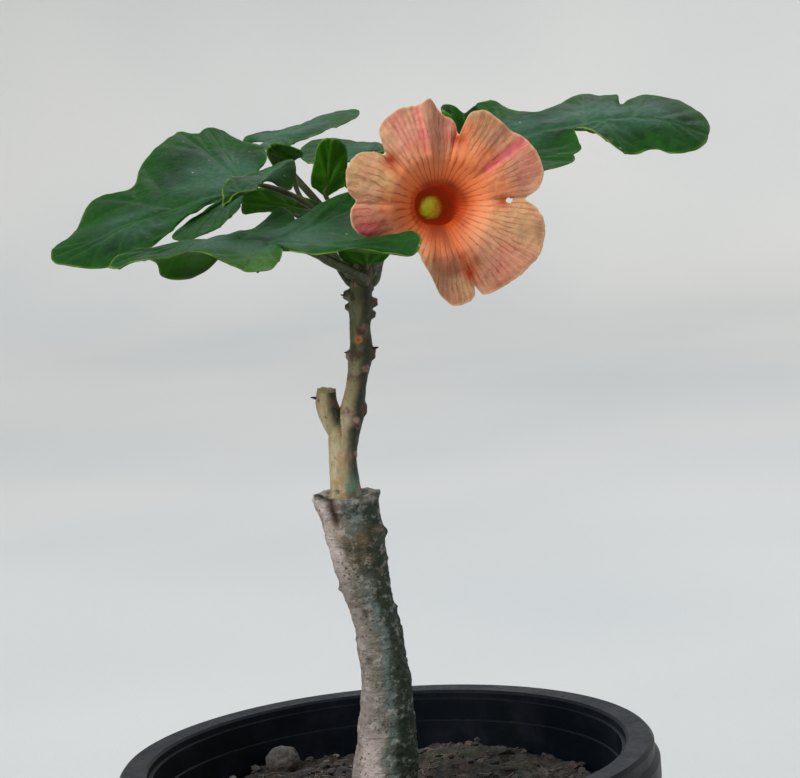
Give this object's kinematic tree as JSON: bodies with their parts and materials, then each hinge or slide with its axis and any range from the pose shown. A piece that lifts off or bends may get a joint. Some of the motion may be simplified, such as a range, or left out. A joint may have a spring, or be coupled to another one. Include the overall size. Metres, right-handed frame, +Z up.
{
  "type": "potted uncarina",
  "caption": "Young caudiciform shrub with a grafted stem, lobed leaves and one open five-lobed flower, growing in soil in a round nursery pot.",
  "frame": {"origin": "centre of the pot's underside", "axes": "+Z up along the pot's axis, -Y towards the side the flower faces, +X to the right as seen from that side"},
  "size_m": [0.1959, 0.181, 0.357],
  "materials": {
    "pot": "satin black blow-moulded plastic, dusty and scuffed at the rim",
    "soil": "matt dark potting soil with bark crumbs and moss",
    "pebble": "matt grey-brown stone",
    "bark": "matt mottled grey bark, greenish on the right side",
    "stem": "matt olive bark with tan patches and purple-brown scars",
    "leaf": "finely hairy dark green leaf, bluish sheen above and yellow-green below",
    "calyx": "finely hairy green",
    "corolla": "silky salmon-orange petal with fine brown-red veins",
    "pistil": "waxy yellow-green"
  },
  "bodies": {
    "root": {"pot": "pot", "soil": "soil", "pebble": "pebble", "rootstock": "bark", "scion": "stem", "leaf_left_large": "leaf", "leaf_right_large": "leaf", "leaf_front": "leaf", "leaf_back": "leaf", "leaf_inner_left": "leaf", "leaf_upright": "leaf", "leaf_inner_back": "leaf", "leaf_inner_low": "leaf", "leaf_small": "leaf", "leaf_young": "leaf", "calyx": "calyx", "corolla": "corolla", "pistil": "pistil"}
  },
  "joints": []
}
